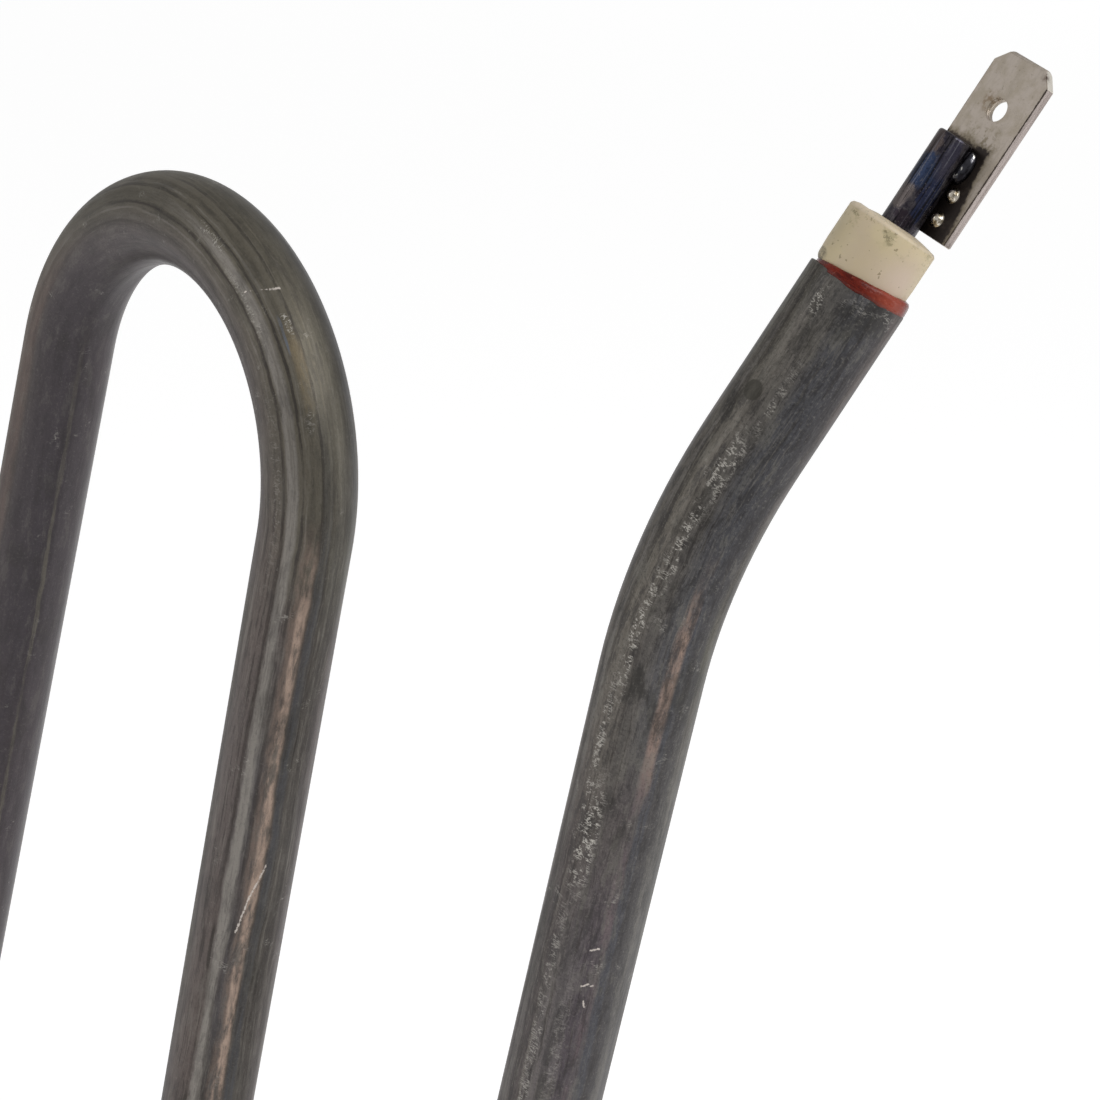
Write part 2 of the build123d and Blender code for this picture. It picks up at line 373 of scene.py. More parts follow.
def shaken(tree, place, source, scale, size, detail, roughness=0.5):
    """Coordinates pushed about by coloured noise, read at the source, by up to half the size each way."""
    swing = stretched(tree, source, scale)
    swing = add(tree, "ShaderNodeTexNoise", Vector=swing, Scale=1.0, Detail=detail, Roughness=roughness)
    centred = vector(tree, "SUBTRACT", swing.outputs["Color"], i1=(0.5, 0.5, 0.5))
    return vector(tree, "ADD", place, i1=vector(tree, "SCALE", centred, Scale=size))


def spot(tree, place, centre, reach):
    """1 at a centre and 0 at its reach, which differs along each axis."""
    away = vector(tree, "SUBTRACT", place, i1=centre)
    near = vector(tree, "MULTIPLY", away, i1=tuple(1 / r for r in reach))
    return ramp(tree, vector(tree, "LENGTH", near), 1.0, 0.0)


def between(tree, value, low, high, first, second):
    """A colour that goes from the first paint to the second as a value goes between two limits."""
    return blend(tree, ramp(tree, value, low, high), paint(*first), paint(*second))


def stain(tree, tone, within, *marks):
    """Lays marks over a tone, all of it or within a mask. A mark is a value, two limits, its strengths
    there and its colour."""
    for value, low, high, at_low, at_high, colour in marks:
        mask = ramp(tree, value, low, high, at_low, at_high)
        if within is not None:
            mask = sums(tree, "MULTIPLY", within, mask)
        tone = blend(tree, mask, tone, paint(*colour))
    return tone


def on_tube(length, angle):
    """Where a mark lies in the straightened tube: its length from the right mouth and its angle round."""
    a = math.radians(angle)
    return (tube_radius * math.cos(a), tube_radius * math.sin(a), length)


def strip(tree, place, angle, half_width, start, finish_at, fade):
    """1 along a line drawn on the straightened tube at one angle round it, between two lengths."""
    flat = vector(tree, "MULTIPLY", vector(tree, "SUBTRACT", place, i1=on_tube(0, angle)), i1=(1, 1, 0))
    far = vector(tree, "LENGTH", flat)
    run = add(tree, "ShaderNodeSeparateXYZ", i0=place).outputs[2]
    begun = ramp(tree, run, start - fade, start + fade)
    inside = sums(tree, "MULTIPLY", begun, ramp(tree, run, finish_at + fade, finish_at - fade))
    return sums(tree, "MULTIPLY", ramp(tree, far, half_width * 1.25, half_width * 0.55), inside)


def striped(tree, tone, place, breaks, rows):
    """Lays strips over a tone, broken up where breaks are given. A row is angle, half width, from, to,
    fade, colour and strength."""
    for angle, half_width, start, finish_at, fade, colour, strength in rows:
        line = strip(tree, place, angle, half_width, start, finish_at, fade)
        held = strength if breaks is None else sums(tree, "MULTIPLY", breaks, strength)
        tone = blend(tree, sums(tree, "MULTIPLY", line, held), tone, paint(*colour))
    return tone


annealed_steel, tree, shader = start_finish("annealed_steel", 0.7, 0.42)
plain_place = own_place(tree, "tube_place")

# A little wander, so that no line on the tube is ruler straight
place = shaken(tree, plain_place, plain_place, (90, 90, 60), 0.0010, 1.0)
place = shaken(tree, place, plain_place, (700, 700, 420), 0.00034, 3.0)

# Skin: brown-grey, drifting to purple-brown, olive and blue-grey over a few centimetres of tube
drift = streaks(tree, place, (70, 70, 22), 3.0)
drift_two = streaks(tree, place, (90, 90, 15), 3.0, shift=(3, 1, 5))
skin = between(tree, drift, 0.4, 0.6, (88, 79, 77), (86, 83, 73))
skin = stain(tree, skin, None, (drift_two, 0.52, 0.66, 0.0, 1.0, (80, 79, 82)))
# Bands of colour at fixed angles round the tube, most of them the skin's own tones; four on the terminal leg are
# painted shading, lighter down its middle and darker at its sides.
skin_tones_and_painted_shading = (
    # angle, half width, from, to, fade, colour, strength
    (-98, 0.00170, 0.380, 0.500, 0.030, (98, 88, 84), 0.8),
    (-172, 0.00200, 0.400, 0.500, 0.030, (82, 79, 73), 0.7),
    (-150, 0.00360, 0.500, 0.545, 0.008, (93, 89, 79), 0.85),
    (-60, 0.00250, 0.500, 0.540, 0.010, (84, 78, 76), 0.8),
    (0, 0.00420, 0.545, 0.750, 0.015, (80, 75, 79), 0.8),
    (-94, 0.00200, 0.000, 0.040, 0.012, (102, 97, 88), 0.8),
    # painted shade: darker left side of the terminal leg lower down
    (-94, 0.00200, 0.046, 0.160, 0.012, (78, 72, 71), 0.8),
    (-30, 0.00260, 0.000, 0.040, 0.012, (86, 86, 90), 0.8),
    (-30, 0.00260, 0.046, 0.160, 0.012, (84, 77, 83), 0.85),
    # painted light: lighter band down the middle of the terminal leg near the mouth
    (-66, 0.00150, 0.000, 0.045, 0.012, (104, 99, 93), 0.7),
    # painted shade: darker right side of the terminal leg near the mouth
    (-14, 0.00150, 0.000, 0.030, 0.010, (70, 70, 74), 0.7),
    (4, 0.00240, 0.040, 0.160, 0.012, (86, 84, 84), 0.8),
    # painted light: lighter band down the middle of the terminal leg lower down
    (-62, 0.00130, 0.052, 0.160, 0.012, (108, 103, 102), 0.7),
)
skin = striped(tree, skin, place, None, skin_tones_and_painted_shading)

# Drawing streaks: soft bands and hard fine lines that run with the tube, broken up by the grain
bands = streaks(tree, place, (560, 560, 12.0), 3.0)
lines = streaks(tree, place, (2100, 2100, 55.0), 4.0, 0.7)
hairs = streaks(tree, place, (6000, 6000, 420.0), 3.0, 0.65)
grain = cloud(tree, place, 4200.0, 5.0, 0.75)
skin = stain(
    tree,
    skin,
    None,
    (bands, 0.32, 0.47, 0.6, 0.0, (54, 48, 45)),
    (bands, 0.56, 0.72, 0.0, 0.4, (116, 112, 105)),
    (lines, 0.53, 0.66, 0.0, 0.6, (46, 41, 38)),
    (lines, 0.45, 0.34, 0.0, 0.42, (126, 121, 113)),
    (hairs, 0.54, 0.68, 0.0, 0.5, (48, 44, 42)),
    (hairs, 0.45, 0.32, 0.0, 0.3, (122, 117, 110)),
)

# Veils: wide soft changes of colour laid over the streaks, on the crown and down the leg after it
veils = (
    # angle, half width, from, to, fade, colour, strength
    (-20, 0.00560, 0.524, 0.760, 0.016, (74, 67, 70), 0.8),
    (-150, 0.00420, 0.490, 0.552, 0.010, (102, 97, 85), 0.55),
    (-146, 0.00130, 0.488, 0.530, 0.008, (114, 108, 96), 0.45),
    (20, 0.00560, 0.524, 0.760, 0.016, (74, 69, 73), 0.3),
    (-30, 0.00320, 0.534, 0.580, 0.008, (64, 60, 64), 0.5),
    (-102, 0.00140, 0.538, 0.580, 0.008, (100, 78, 72), 0.45),
)
skin = striped(tree, skin, place, None, veils)

# Sliding marks and a painted reflection: long pale and dark lines at fixed angles round the tube, most of them
# rubbed where the tube ran over the bending tools; the two pale lines at -123 degrees down the hairpin's right leg
# are a painted reflection of an overhead light.
broken = ramp(tree, sums(tree, "ADD", hairs, lines), 1.16, 0.88, 0.4, 1.0)
rubs_and_painted_reflection = (
    # angle, half width, from, to, fade, colour, strength
    # painted reflection: the overhead light's pale line down the hairpin's right leg
    (-123, 0.00054, 0.330, 0.516, 0.010, (134, 129, 123), 1.0),
    (-123, 0.00034, 0.330, 0.516, 0.010, (134, 129, 123), 0.8),
    (-136, 0.00016, 0.330, 0.545, 0.010, (56, 51, 48), 0.8),
    (-112, 0.00020, 0.380, 0.530, 0.010, (54, 48, 44), 0.9),
    (-141, 0.00010, 0.488, 0.535, 0.006, (128, 123, 115), 0.8),
    (-148, 0.00022, 0.488, 0.540, 0.008, (62, 58, 52), 0.4),
    (-160, 0.00016, 0.440, 0.540, 0.010, (60, 56, 52), 0.7),
    (-170, 0.00012, 0.440, 0.530, 0.010, (116, 110, 96), 0.6),
    (-167, 0.00045, 0.410, 0.492, 0.012, (72, 73, 78), 0.75),
    (-98, 0.00014, 0.420, 0.500, 0.014, (60, 52, 50), 0.8),
    (-104, 0.00012, 0.500, 0.545, 0.008, (118, 112, 106), 0.8),
    (-14, 0.00022, 0.550, 0.700, 0.012, (112, 107, 96), 0.6),
    (-30, 0.00060, 0.547, 0.720, 0.020, (68, 63, 67), 0.7),
    (-106, 0.00036, 0.004, 0.160, 0.006, (112, 108, 104), 0.7),
    (-97, 0.00012, 0.006, 0.160, 0.006, (46, 43, 42), 0.8),
    (-58, 0.00030, 0.024, 0.160, 0.010, (62, 60, 60), 0.4),
    (-16, 0.00040, 0.026, 0.160, 0.010, (70, 72, 80), 0.7),
    (0, 0.00080, 0.000, 0.110, 0.008, (66, 64, 66), 0.7),
)
skin = striped(tree, skin, place, broken, rubs_and_painted_reflection)

# Painted highlights: coppery warm highlight bands laid along the hairpin's legs and the outer legs at fixed angles
# round the tube, broken up by noise
copper_highlight_breakup = ramp(tree, streaks(tree, place, (1000, 1000, 260), 5.0, 0.7), 0.36, 0.6, 0.1, 1.0)
painted_copper_highlights = (
    # angle, half width, from, to, fade, colour, strength
    (-150, 0.00080, 0.395, 0.4895, 0.002, (124, 108, 98), 0.75),
    (-153, 0.00044, 0.395, 0.4860, 0.004, (176, 154, 139), 0.95),
    (-153, 0.00055, 0.4985, 0.5040, 0.0015, (130, 117, 93), 0.75),
    (-24, 0.00052, 0.0245, 0.040, 0.004, (164, 140, 126), 0.8),
    (-27, 0.00042, 0.040, 0.140, 0.012, (108, 94, 98), 0.75),
    (150, 0.00070, 0.090, 0.210, 0.030, (128, 104, 88), 0.6),
    (60, 0.00080, 0.600, 0.720, 0.030, (126, 106, 92), 0.6),
    (-60, 0.00060, 0.830, 0.960, 0.030, (130, 108, 92), 0.6),
)
skin = striped(tree, skin, place, copper_highlight_breakup, painted_copper_highlights)
blued_line = (-145.5, 0.00012, 0.5025, 0.5052, 0.0005, (112, 122, 138), 0.7)
skin = striped(tree, skin, place, broken, (blued_line,))

# Worn ends: the two terminal ends are handled and clamped, so they are blotched and grainy
whole_length = 1.03436
run = add(tree, "ShaderNodeSeparateXYZ", i0=place).outputs[2]
from_end = sums(tree, "MINIMUM", run, sums(tree, "SUBTRACT", whole_length, run))
handled = ramp(tree, from_end, 0.12, 0.02, 0.45, 1.0)
blotch = streaks(tree, place, (1000, 1000, 300), 5.0, 0.72)
patch = streaks(tree, place, (360, 360, 170), 4.0)
skin = stain(
    tree,
    skin,
    handled,
    (blotch, 0.5, 0.62, 0.0, 0.62, (52, 50, 50)),
    (blotch, 0.47, 0.36, 0.0, 0.4, (118, 115, 108)),
    (patch, 0.54, 0.66, 0.0, 0.55, (50, 48, 44)),
    (grain, 0.51, 0.66, 0.0, 0.5, (44, 42, 42)),
    (grain, 0.45, 0.34, 0.0, 0.35, (136, 132, 126)),
)
dab = spot(tree, plain_place, on_tube(0.0102, -84), (0.0010, 0.0010, 0.0010))
skin = stain(tree, skin, None, (dab, 0.02, 0.2, 0.0, 0.7, (50, 48, 42)))

# Nicks: squirming bright bites crowded along the line that touched the jig, and scattered ones
squirm = sums(tree, "ABSOLUTE", sums(tree, "SUBTRACT", streaks(tree, place, (1500, 1500, 4400), 3.0), 0.5))
crowd = ramp(tree, streaks(tree, place, (1700, 1700, 1500), 4.0, 0.65), 0.45, 0.56)
bite = sums(tree, "MULTIPLY", ramp(tree, squirm, 0.058, 0.014), crowd)
nick_rows = (
    # angle, half width, from, to, fade, strength
    (-56, 0.00035, 0.0075, 0.0125, 0.003, 0.6),
    (-63, 0.00080, 0.0135, 0.0180, 0.002, 1.0),
    (-67, 0.00055, 0.0175, 0.0250, 0.002, 0.9),
    (-74, 0.00048, 0.0240, 0.0330, 0.003, 0.9),
    (-82, 0.00045, 0.0330, 0.0480, 0.004, 0.7),
    (-72, 0.00090, 0.0420, 0.0500, 0.003, 1.0),
    (-77, 0.00050, 0.0520, 0.1200, 0.006, 0.45),
    (-50, 0.00050, 0.0600, 0.0700, 0.006, 0.3),
    (-75, 0.00045, 0.0012, 0.0032, 0.001, 0.8),
    (-154, 0.00035, 0.5038, 0.5056, 0.0005, 0.9),
    (-129, 0.00040, 0.5125, 0.5158, 0.001, 0.7),
    (-118, 0.00030, 0.5040, 0.5110, 0.002, 0.35),
    (-102, 0.00050, 0.4850, 0.5000, 0.006, 0.18),
    (-110, 0.00080, 0.6000, 0.6600, 0.020, 0.5),
    (100, 0.00080, 0.9300, 1.0200, 0.010, 0.7),
)
nicks = None
for angle, half_width, start, finish_at, fade, strength in nick_rows:
    mask = sums(tree, "MULTIPLY", strip(tree, place, angle, half_width, start, finish_at, fade), strength)
    nicks = mask if nicks is None else sums(tree, "MAXIMUM", nicks, mask)
scattered = ramp(tree, cloud(tree, place, 420.0, 3.0), 0.6, 0.74, 0.0, 0.45)
nicks = sums(tree, "MULTIPLY", sums(tree, "MAXIMUM", nicks, scattered), bite)
skin = blend(tree, nicks, skin, paint(188, 184, 176))

# Scratches: single bright lines, each a short stroke of a tool
scratch_fade, scratch_fray = 0.00004, 0.00006
scratches = (
    # start and end, each as length and angle, then half width
    (0.4588, -164, 0.4555, -150, 0.00007),
    (0.4555, -150, 0.4520, -141, 0.00006),
    (0.50735, -161, 0.50750, -151, 0.00008),
    (0.50760, -147, 0.50830, -122, 0.00001),
    (0.0552, -38, 0.0550, -30, 0.00009),
    (0.0585, -38, 0.0582, -32, 0.00007),
    (0.0584, -29, 0.0583, -27, 0.00007),
    (0.0598, -33, 0.0603, -31, 0.00006),
)
for length_a, angle_a, length_b, angle_b, half_width in scratches:
    first, last = Vector(on_tube(length_a, angle_a)), Vector(on_tube(length_b, angle_b))
    along = tuple((last - first).normalized())
    reach = (last - first).length / 2
    away = vector(tree, "SUBTRACT", plain_place, i1=tuple((first + last) / 2))
    lengthwise = vector(tree, "DOT_PRODUCT", away, i1=along)
    held = add(tree, "ShaderNodeClamp", i0=lengthwise, i1=-reach, i2=reach).outputs[0]
    off = vector(tree, "DISTANCE", away, i1=vector(tree, "SCALE", along, Scale=held))
    near = sums(tree, "ADD", off, ramp(tree, grain, 0.35, 0.65, -scratch_fray, scratch_fray))
    mark = (near, half_width + scratch_fade, half_width * 0.3, 0.0, 0.9, (212, 203, 195))
    skin = stain(tree, skin, None, mark)

matt = ramp(tree, sums(tree, "ADD", bands, sums(tree, "MULTIPLY", grain, 0.5)), 0.55, 0.95, 0.52, 0.38)
matt = sums(tree, "SUBTRACT", matt, sums(tree, "MULTIPLY", nicks, 0.12))
relief = sums(tree, "ADD", sums(tree, "MULTIPLY", lines, 0.6), sums(tree, "MULTIPLY", grain, 0.6))
relief = sums(tree, "SUBTRACT", relief, sums(tree, "MULTIPLY", nicks, 0.5))
coat(tree, shader, skin, matt, relief)

line = tube_run()
sheath = grown(
    "drawn_steel_sheath",
    run_curve("sheath_run", line),
    sweep_tree("tube_sweep"),
    Radius=tube_radius,
    Sides=tube_sides,
    Finish=annealed_steel,
)


def apply_all(piece):
    """Turns a piece's modifiers into plain mesh."""
    bpy.context.view_layer.update()
    mesh = bpy.data.meshes.new_from_object(piece.evaluated_get(bpy.context.evaluated_depsgraph_get()))
    mesh.name = piece.name
    piece.modifiers.clear()
    piece.data = mesh


shape = bmesh.new()
shape.from_mesh(sheath.data)
bmesh.ops.recalc_face_normals(shape, faces=shape.faces)
shape.to_mesh(sheath.data)
shape.free()
wall = sheath.modifiers.new("wall", "SOLIDIFY")
wall.thickness = tube_wall
wall.offset = -1
wall.use_even_offset = True
edge = sheath.modifiers.new("edge", "BEVEL")
edge.width = mouth_edge
edge.segments = 3
edge.limit_method = "ANGLE"
edge.angle_limit = math.radians(60)
apply_all(sheath)
for face in sheath.data.polygons:
    face.use_smooth = True
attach(sheath, "root")
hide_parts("sheath")

# ---- Heating coil: resistance wire wound on a mandrel, stretched to an even pitch and threaded
# through the tube. Its end turns are screwed tight on the necks of the two terminal pins.
coil_radius = 0.0016
wire_diameter = 0.00045
wire_sides = 5
coil_pitch = 0.0013
coil_top_z = 0.2173
steps_per_turn = 12

coil_oxide, tree, shader = start_finish("coil_oxide", 0.9, 0.4)
here = add(tree, "ShaderNodeTexCoord").outputs["Object"]
tone = between(tree, cloud(tree, here, 90.0, 3.0), 0.35, 0.65, (98, 90, 84), (112, 94, 72))
scale_marks = cloud(tree, here, 4000.0, 3.0)
tone = stain(tree, tone, None, (scale_marks, 0.5, 0.7, 0.0, 0.5, (58, 54, 56)))
coat(tree, shader, tone, ramp(tree, scale_marks, 0.3, 0.7, 0.3, 0.55))


def winding_tree(name):
    """Winds a wire round a chain: the chain is divided evenly, pushed out in a helix and swept."""
    sizes = (("Wire Radius", 0.0002), ("Winding Radius", 0.0014), ("Pitch", 0.0013), ("Step", 0.0001))
    tree, given = new_growth(name, [(label, "NodeSocketFloat", value) for label, value in sizes], "Wire")
    curve = add(tree, "GeometryNodeMeshToCurve", Mesh=given.outputs["Chain"])
    even = add(
        tree,
        "GeometryNodeResampleCurve",
        {"mode": "LENGTH"},
        Curve=curve.outputs[0],
        Length=given.outputs["Step"],
    )
    turns = sums(tree, "DIVIDE", carried(tree, "FLOAT", "travelled"), given.outputs["Pitch"])
    angle = sums(tree, "MULTIPLY", turns, math.tau)
    pushes = []
    for wave, axis in (("COSINE", "sideways"), ("SINE", "outward")):
        size = sums(tree, "MULTIPLY", sums(tree, wave, angle), given.outputs["Winding Radius"])
        pushes.append(vector(tree, "SCALE", carried(tree, "FLOAT_VECTOR", axis), Scale=size))
    push = vector(tree, "ADD", pushes[0], i1=pushes[1])
    wound = add(tree, "GeometryNodeSetPosition", Geometry=even.outputs[0], Offset=push)
    ring = add(
        tree,
        "GeometryNodeCurvePrimitiveCircle",
        {"mode": "RADIUS"},
        Resolution=wire_sides,
        Radius=given.outputs["Wire Radius"],
    )
    wire = add(
        tree, "GeometryNodeCurveToMesh", Curve=wound.outputs[0], Profile_Curve=ring.outputs[0], Fill_Caps=True
    )
    return end_growth(tree, wire.outputs[0], given.outputs["Finish"])


top = Vector((leg_x, 0, coil_top_z))
inner_run = [(p, t) for p, t in line if not (abs(p.x) > leg_x - 1e-6 and p.z > coil_top_z)]
inner_run = [(top, Vector((0, 0, -1)))] + inner_run + [(Vector((-leg_x, 0, coil_top_z)), Vector((0, 0, 1)))]
coil = grown(
    "wound_heating_coil",
    run_curve("coil_run", inner_run),
    winding_tree("wire_winding"),
    **{
        "Wire Radius": wire_diameter / 2,
        "Winding Radius": coil_radius - wire_diameter / 2,
        "Pitch": coil_pitch,
        "Step": coil_pitch / steps_per_turn,
        "Finish": coil_oxide,
    },
)
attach(coil, "root")
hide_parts("heating_coil")

# ---- Magnesia filling: dry powder tapped in round the coil, then crushed hard by the drawing of
# the sheath. Nothing else holds the coil and pins in the middle of the tube.
pressed_magnesia, tree, shader = start_finish("pressed_magnesia", 0.0, 0.85)
here = add(tree, "ShaderNodeTexCoord").outputs["Object"]
tone = between(tree, cloud(tree, here, 260.0, 3.0), 0.35, 0.65, (226, 223, 214), (206, 203, 196))
grains = cloud(tree, here, 5200.0, 5.0, 0.65)
tone = stain(tree, tone, None, (grains, 0.58, 0.7, 0.0, 0.7, (150, 148, 144)))
coat(tree, shader, tone, relief=grains)
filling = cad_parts["magnesia_filling"]
filling.data.materials.clear()
filling.data.materials.append(pressed_magnesia)

# ---- Terminal pins: cold ends of plain steel rod, necked to take the coil, bent with the tube.
# The bare ends stand out of the bushes, blued and scaled by the weld that holds the tab.
pin_radius = 0.00144
pin_sides = 48
pin_rings = 22
pin_top = 0.01298
pin_crown = 0.00002
pin_end_round = 0.00025
end_round_steps = 4
neck_radius = 0.00113
neck_length = 0.008
neck_foot_z = 0.2093
lean_drop = straight_end + lean_radius * lean_angle
mouth_z = lean_start_z + lean_radius * math.sin(lean_angle) + straight_end * math.cos(lean_angle)
mouth_y = lean_radius * (1 - math.cos(lean_angle)) + straight_end * math.sin(lean_angle)


def stand(point, side=1):
    """Moves a point from an upright terminal, with its foot at the mouth, to its place on the bent end."""
    x, y, z = point
    if z > -straight_end:
        a, run = lean_angle, z
        base = Vector((leg_x, mouth_y, mouth_z)) + Vector((0, math.sin(a), math.cos(a))) * run
    elif z > -lean_drop:
        a = lean_angle * (z + lean_drop) / (lean_drop - straight_end)
        base = Vector((leg_x, lean_radius * (1 - math.cos(a)), lean_start_z + lean_radius * math.sin(a)))
    else:
        a = 0.0
        base = Vector((leg_x, 0, lean_start_z + z + lean_drop))
    stood = base + Vector((x, y * math.cos(a), -y * math.sin(a)))
    return Vector((side * stood.x, stood.y, stood.z))


def terminal_piece(name, points, faces, side, finishes, looks=None):
    """A mesh from points on the upright terminal, stood in place, that remembers the upright points."""
    mesh = bpy.data.meshes.new(name)
    order = faces if side > 0 else [tuple(reversed(f)) for f in faces]
    mesh.from_pydata([stand(p, side) for p in points], [], order)
    own = mesh.attributes.new("own_place", "FLOAT_VECTOR", "POINT")
    for i, p in enumerate(points):
        own.data[i].vector = p
    for finish in finishes:
        mesh.materials.append(finish)
    for i, face in enumerate(mesh.polygons):
        face.use_smooth = True
        face.material_index = looks[i] if looks else 0
    piece = bpy.data.objects.new(name, mesh)
    scene.collection.objects.link(piece)
    return piece


def turned(profile, sides, centre=(0.0, 0.0), waver=None):
    """Points and faces of a body turned about Z from (radius, height) pairs; a zero radius is a pole."""
    points, faces, rows = [], [], []
    for radius, height in profile:
        if radius == 0.0:
            rows.append([len(points)])
            points.append(Vector((centre[0], centre[1], height)))
            continue
        row = []
        for k in range(sides):
            a = math.tau * k / sides
            r, h = waver(radius, height, a) if waver else (radius, height)
            row.append(len(points))
            points.append(Vector((centre[0] + r * math.cos(a), centre[1] + r * math.sin(a), h)))
        rows.append(row)
    for low, high in zip(rows, rows[1:]):
        for k in range(sides):
            m = (k + 1) % sides
            if len(low) == 1:
                faces.append((low[0], high[m], high[k]))
            elif len(high) == 1:
                faces.append((low[k], low[m], high[0]))
            else:
                faces.append((low[k], low[m], high[m], high[k]))
    return points, faces


blued_steel, tree, shader = start_finish("blued_steel", 0.8, 0.3)
own = own_place(tree)
torn = shaken(tree, own, own, (1500, 1500, 900), 0.0011, 4.0, 0.65)
drawn = streaks(tree, own, (3600, 3600, 130), 4.0, 0.65)
mottle = cloud(tree, own, 1300.0, 4.0, 0.65)
pepper = cloud(tree, own, 6500.0, 3.0, 0.65)
tone = between(tree, mottle, 0.4, 0.6, (50, 46, 55), (72, 68, 72))
patches = (
    # centre on the pin, reach, colour, strength
    ((-0.0002, -0.0014, 0.0076), (0.0010, 0.0009, 0.0016), (104, 96, 94), 0.95),
    ((-0.0004, -0.0013, 0.0120), (0.0010, 0.0009, 0.0014), (86, 76, 74), 0.9),
    ((0.0002, -0.0013, 0.0098), (0.0015, 0.0010, 0.0018), (44, 58, 86), 0.9),
    ((0.0013, -0.0005, 0.0080), (0.0010, 0.0008, 0.0024), (36, 45, 74), 0.8),
    ((0.0011, -0.0008, 0.0112), (0.0008, 0.0008, 0.0022), (62, 60, 76), 0.7),
    ((0.0009, -0.0011, 0.0060), (0.0012, 0.0009, 0.0008), (44, 34, 44), 0.8),
    ((0.0003, 0.0013, 0.0090), (0.0012, 0.0010, 0.0022), (36, 50, 84), 0.9),
    ((-0.0012, 0.0004, 0.0085), (0.0010, 0.0012, 0.0020), (90, 80, 74), 0.8),
)
for centre, reach, colour, strength in patches:
    tone = stain(tree, tone, None, (spot(tree, torn, centre, reach), 0.02, 0.22, 0.0, strength, colour))
tone = stain(
    tree,
    tone,
    None,
    (drawn, 0.5, 0.6, 0.0, 0.9, (14, 13, 18)),
    (drawn, 0.43, 0.35, 0.0, 0.55, (120, 120, 128)),
    (pepper, 0.58, 0.7, 0.0, 0.5, (124, 118, 116)),
    (pepper, 0.42, 0.32, 0.0, 0.5, (18, 16, 20)),
)
scale_relief = sums(tree, "ADD", drawn, sums(tree, "MULTIPLY", pepper, 0.5))
coat(tree, shader, tone, ramp(tree, mottle, 0.3, 0.7, 0.24, 0.42), scale_relief, depth=0.00004)

neck_foot = neck_foot_z - lean_start_z - lean_drop
neck_top = neck_foot + neck_length
pin_profile = [(0.0, neck_foot), (neck_radius, neck_foot), (neck_radius, neck_top), (pin_radius, neck_top)]
pin_profile += [(pin_radius, neck_top - neck_top * i / pin_rings) for i in range(1, pin_rings + 1)]
pin_profile += [(pin_radius, pin_top * 0.5), (pin_radius, pin_top - pin_end_round)]
for i in range(1, end_round_steps + 1):
    a = math.pi / 2 * i / end_round_steps
    pin_profile.append((pin_radius - pin_end_round * (1 - math.cos(a)), pin_top - pin_end_round * (1 - math.sin(a))))
pin_profile += [(pin_radius * 0.5, pin_top + pin_crown / 2), (0.0, pin_top + pin_crown)]
for side, word in ((1, "right"), (-1, "left")):
    points, faces = turned(pin_profile, pin_sides)
    pin = terminal_piece(f"blued_pin_{word}", points, faces, side, [blued_steel])
    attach(pin, "root")
    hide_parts(f"terminal_pin_{word}")

# ---- Silicone seals: red silicone poured in the mouth to keep damp out of the powder, and
# pressed up over the rim on one side as the bush was pushed home.
seal_radius = 0.00396
seal_high = 0.00105
seal_inside = 0.00325
seal_depth = 0.0055
seal_sides = 160
push_angle = math.radians(220)

# The lip: its low side leaves the rim bare, and its full side sags over it
skirt_height = -0.00005
lip_bare = 0.00362
lip_overhang = seal_radius - lip_bare
lip_low, lip_lift = 0.00028, 0.00002
lip_rise = 0.85
sag_angle = math.radians(305)
sag_height, sag_depth = 0.00001, 0.00030
sag_swell, brim_swell = 0.00007, 0.00005

red_silicone, tree, shader = start_finish("red_silicone", 0.0, 0.25)
shader.inputs["Specular IOR Level"].default_value = 0.22
shader.inputs["Subsurface Weight"].default_value = 0.08
shader.inputs["Subsurface Radius"].default_value = (0.0009, 0.0002, 0.0001)
shader.inputs["Subsurface Scale"].default_value = 0.6
own = own_place(tree)
smears = streaks(tree, own, (900, 900, 2600), 4.0, 0.65)
dust = cloud(tree, own, 3500.0, 3.0, 0.6)
tone = between(tree, smears, 0.35, 0.65, (76, 10, 2), (112, 30, 12))
dull = spot(tree, own, (0.0042, -0.0004, 0.0004), (0.0030, 0.0030, 0.003))
tone = blend(tree, dull, tone, paint(146, 64, 46))
tone = stain(
    tree,
    tone,
    None,
    (dust, 0.6, 0.72, 0.0, 0.5, (72, 24, 18)),
    (dust, 0.4, 0.3, 0.0, 0.35, (178, 104, 84)),
)
coat(tree, shader, tone, ramp(tree, smears, 0.3, 0.7, 0.16, 0.38), smears, 0.7, 0.00008)


def seal_waver(r, h, a):
    """The lip slants from its low side, where the rim stays bare, to a full side that sags over it."""
    if h < skirt_height - 1e-6:
        return r, h
    slant = (1 - math.cos(a - push_angle)) / 2
    full = min(1.0, slant * 5)
    uneven = noise.noise(Vector((math.cos(a) * 2.2, math.sin(a) * 2.2, 4.0)))
    small = noise.noise(Vector((math.cos(a) * 7.0, math.sin(a) * 7.0, 9.0)))
    facing = max(0.0, math.cos(a - sag_angle))
    sag = facing * full * max(0.0, 0.9 + 0.6 * uneven + 0.22 * small)
    drawn_in = lip_overhang * (1 - full)
    if h < 0:
        return r + sag_swell * min(1.0, sag) - drawn_in, sag_height - sag_depth * min(1.2, sag)
    top = lip_low + (seal_high - lip_low) * slant**lip_rise
    share = h / seal_high
    outer = (r - lip_bare) / lip_overhang if r > lip_bare else 0.0
    radius = r - drawn_in * outer + brim_swell * min(1.0, sag) * (1 - share)
    return radius * (1 + 0.004 * small * share), share * top * (1 + 0.10 * uneven) + lip_lift


